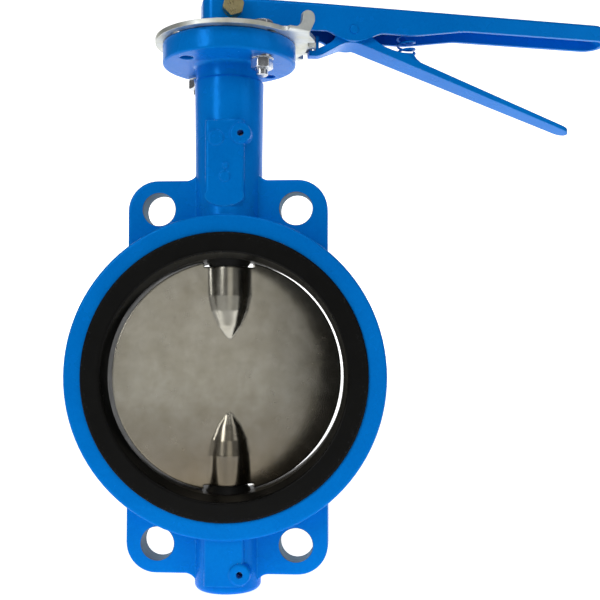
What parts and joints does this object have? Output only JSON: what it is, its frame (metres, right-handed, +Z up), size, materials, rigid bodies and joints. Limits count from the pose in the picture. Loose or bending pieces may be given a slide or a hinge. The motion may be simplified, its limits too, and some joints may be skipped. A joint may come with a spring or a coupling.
{
  "type": "butterfly valve",
  "caption": "Wafer butterfly valve with rubber-lined body, centre-pivoted disc and a squeeze-latch hand lever over a notched position plate.",
  "frame": {"origin": "centre of the waterway, midway between the two pipe faces, on the stem axis", "axes": "+Y along the pipe from the front face to the rear face, +Z up the stem towards the lever, +X to the side the closed lever points to"},
  "size_m": [0.374, 0.1325, 0.4],
  "materials": {
    "body_enamel": "glossy blue enamel over cast iron",
    "lever_enamel": "glossy blue enamel over pressed steel",
    "spring_enamel": "blue enamel over spring wire",
    "seat_rubber": "smooth black moulded rubber",
    "seal_rubber": "black rubber",
    "disc_metal": "plated, semi-polished, warm grey",
    "stem_steel": "ground stainless steel",
    "zinc_plate": "bright zinc plating, slightly mottled",
    "zinc_fastener": "bright zinc plating",
    "yellow_zinc": "yellow passivated zinc",
    "bush_bronze": "plain bearing bronze"
  },
  "bodies": {
    "valve_body": {"body_casting": "body_enamel", "seat_liner": "seat_rubber", "lower_stem": "stem_steel", "neck_bushing_upper": "bush_bronze", "neck_bushing_lower": "bush_bronze", "boss_bushing": "bush_bronze", "stem_o_rings": "seal_rubber", "dust_seal": "seal_rubber", "neck_pin": "stem_steel", "boss_pin": "stem_steel", "notch_plate": "zinc_plate", "plate_bolts": "zinc_fastener", "plate_washers": "zinc_fastener", "plate_nuts": "zinc_fastener"},
    "rotor": {"disc": "disc_metal", "upper_stem": "stem_steel", "lever": "lever_enamel", "lever_hub": "zinc_plate", "clamp_bolt": "yellow_zinc", "clamp_spring_washer": "yellow_zinc", "clamp_washer": "yellow_zinc", "clamp_nut": "yellow_zinc", "trigger_pin": "lever_enamel", "trigger_spring": "spring_enamel"},
    "trigger": {"trigger": "lever_enamel"}
  },
  "joints": [
    {"name": "lever_swing", "type": "hinge", "parent": "valve_body", "child": "rotor", "pos_m": [0, 0, 0], "axis": [0, 0, 1], "range_deg": [-15, 75]},
    {"name": "trigger_squeeze", "type": "hinge", "parent": "rotor", "child": "trigger", "pos_m": [0.08114, 0.02174, 0.236], "axis": [0.2588, -0.9659, 0], "range_deg": [-5, 16], "stiffness_Nm_per_rad": 8, "deforming": ["trigger_spring"]}
  ]
}
